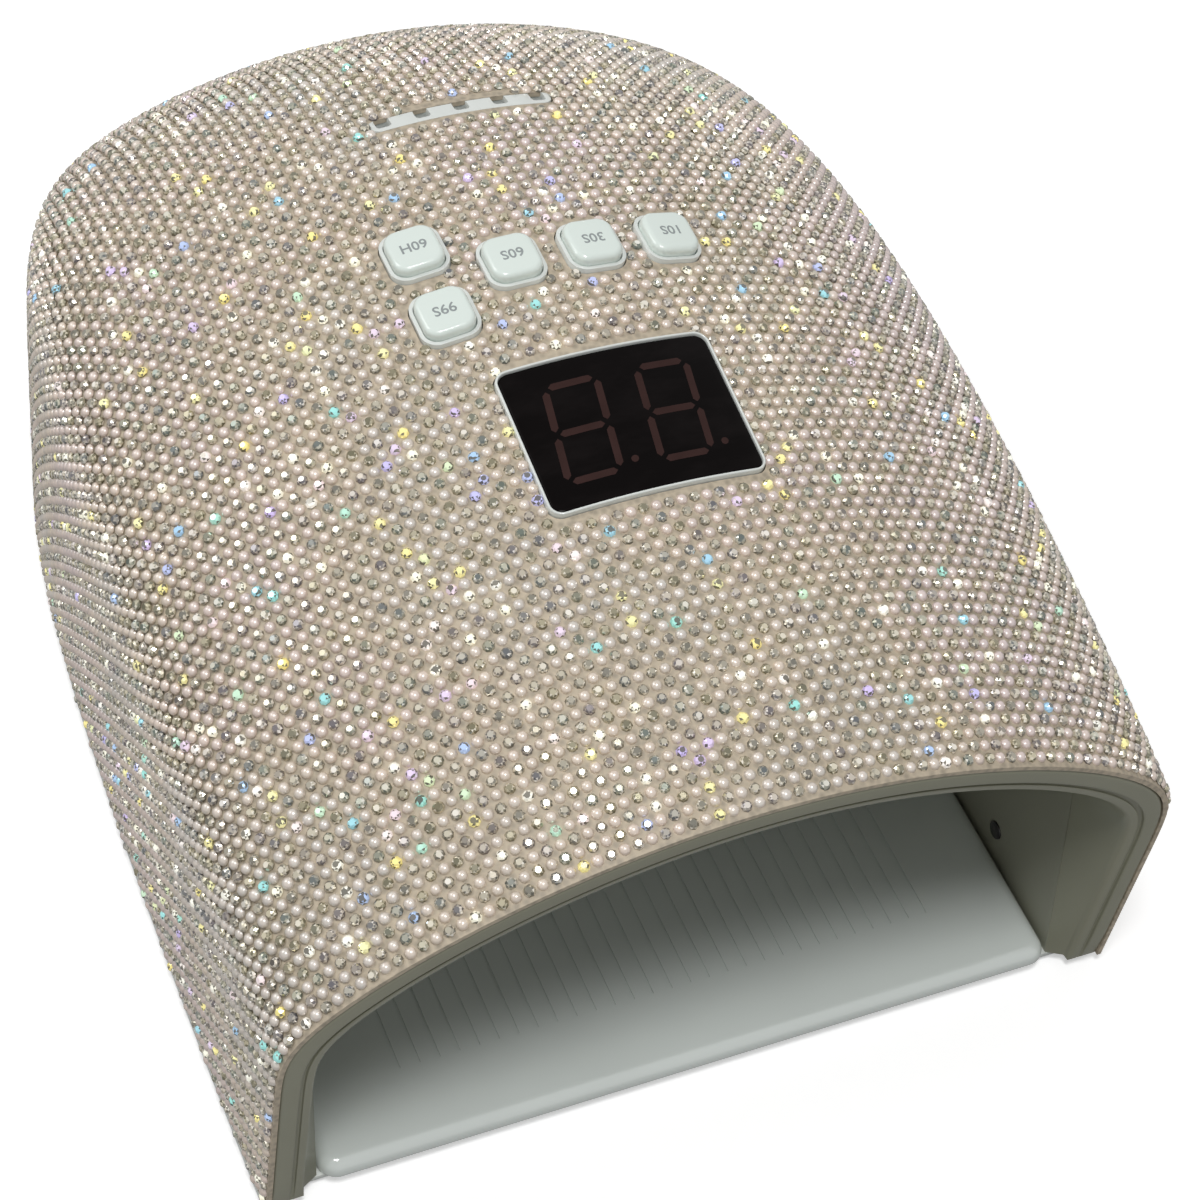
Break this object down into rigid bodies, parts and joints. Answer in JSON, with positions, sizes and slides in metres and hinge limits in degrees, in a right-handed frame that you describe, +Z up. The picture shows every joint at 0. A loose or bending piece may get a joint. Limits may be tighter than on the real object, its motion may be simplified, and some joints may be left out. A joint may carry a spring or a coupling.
{
  "type": "uv curing lamp",
  "caption": "Domed desktop gel-nail curing lamp with a hand cavity, crystal-covered housing, display, timer keys and a slide-out floor tray.",
  "frame": {"origin": "middle of the footprint at table level", "axes": "+Z up, +X to the right seen from the open front, +Y from the open front to the rear"},
  "size_m": [0.202, 0.245, 0.1306],
  "materials": {
    "white_shell": "glossy moulded",
    "crystal": "pink-beige sheet of half pearls and faceted crystals",
    "rim_grey": "satin, stepped",
    "liner_white": "glossy reflector",
    "tray_white": "high gloss, fine ribs",
    "frame_white": "glossy",
    "magnet": "nickel plated",
    "foot_rubber": "matt",
    "steel": "zinc plated",
    "window_black": "polished tinted lens",
    "module_black": "display block",
    "board_green": "solder mask",
    "board_white": "white aluminium circuit strip",
    "key_mint": "soft gloss, pale grey legend",
    "switch_black": "moulded",
    "led_lens": "silicone dome over phosphor",
    "ferrite": "wound ferrite ring",
    "capacitor": "sleeved can",
    "cell_wrap": "heat-shrink sleeve",
    "cradle_black": "moulded",
    "socket_black": "moulded",
    "sensor_dark": "infrared window",
    "ribbon_grey": "flat cable",
    "lead_red": "two-core lead"
  },
  "bodies": {
    "housing": {"outer_shell": "white_shell", "crystal_sheet": "crystal", "front_rim": "rim_grey", "inner_liner": "liner_white", "base_frame": "frame_white", "frame_magnets": "magnet", "rubber_feet": "foot_rubber", "base_screws": "steel", "display_bezel": "white_shell", "display_window": "window_black", "display_module": "module_black", "display_board": "board_green", "key_carrier": "white_shell", "key_switches": "switch_black", "key_board": "board_green", "key_board_screws": "steel", "vent_strip": "white_shell", "led_strip_front": "board_white", "led_strip_middle": "board_white", "led_strip_rear": "board_white", "led_beads_front": "led_lens", "led_beads_middle": "led_lens", "led_beads_rear": "led_lens", "rear_led_board": "board_white", "rear_led_beads": "led_lens", "main_board": "board_green", "main_board_screws": "steel", "inductor": "ferrite", "capacitors": "capacitor", "battery_cells": "cell_wrap", "battery_cradle": "cradle_black", "charge_socket": "socket_black", "socket_board": "board_green", "sensor_window": "sensor_dark", "sensor_board": "board_green", "ribbon_cable": "ribbon_grey", "led_lead": "lead_red"},
    "tray": {"base_tray": "tray_white", "tray_magnets": "magnet"},
    "key_60h_cap": {"key_60h": "key_mint"},
    "key_60s_cap": {"key_60s": "key_mint"},
    "key_30s_cap": {"key_30s": "key_mint"},
    "key_10s_cap": {"key_10s": "key_mint"},
    "key_99s_cap": {"key_99s": "key_mint"}
  },
  "joints": [
    {"name": "tray_slide", "type": "slide", "parent": "housing", "child": "tray", "axis": [0, -1, 0], "range_m": [0, 0.16]},
    {"name": "key_60h_press", "type": "slide", "parent": "housing", "child": "key_60h_cap", "axis": [0.1745, 0.0069, -0.9846], "range_m": [0, 0.0008], "stiffness_N_per_m": 1500},
    {"name": "key_60s_press", "type": "slide", "parent": "housing", "child": "key_60s_cap", "axis": [0.0594, 0.033, -0.9977], "range_m": [0, 0.0008], "stiffness_N_per_m": 1500},
    {"name": "key_30s_press", "type": "slide", "parent": "housing", "child": "key_30s_cap", "axis": [-0.0594, 0.033, -0.9977], "range_m": [0, 0.0008], "stiffness_N_per_m": 1500},
    {"name": "key_10s_press", "type": "slide", "parent": "housing", "child": "key_10s_cap", "axis": [-0.1758, 0.0343, -0.9838], "range_m": [0, 0.0008], "stiffness_N_per_m": 1500},
    {"name": "key_99s_press", "type": "slide", "parent": "housing", "child": "key_99s_cap", "axis": [0.1769, 0.0599, -0.9824], "range_m": [0, 0.0008], "stiffness_N_per_m": 1500}
  ]
}
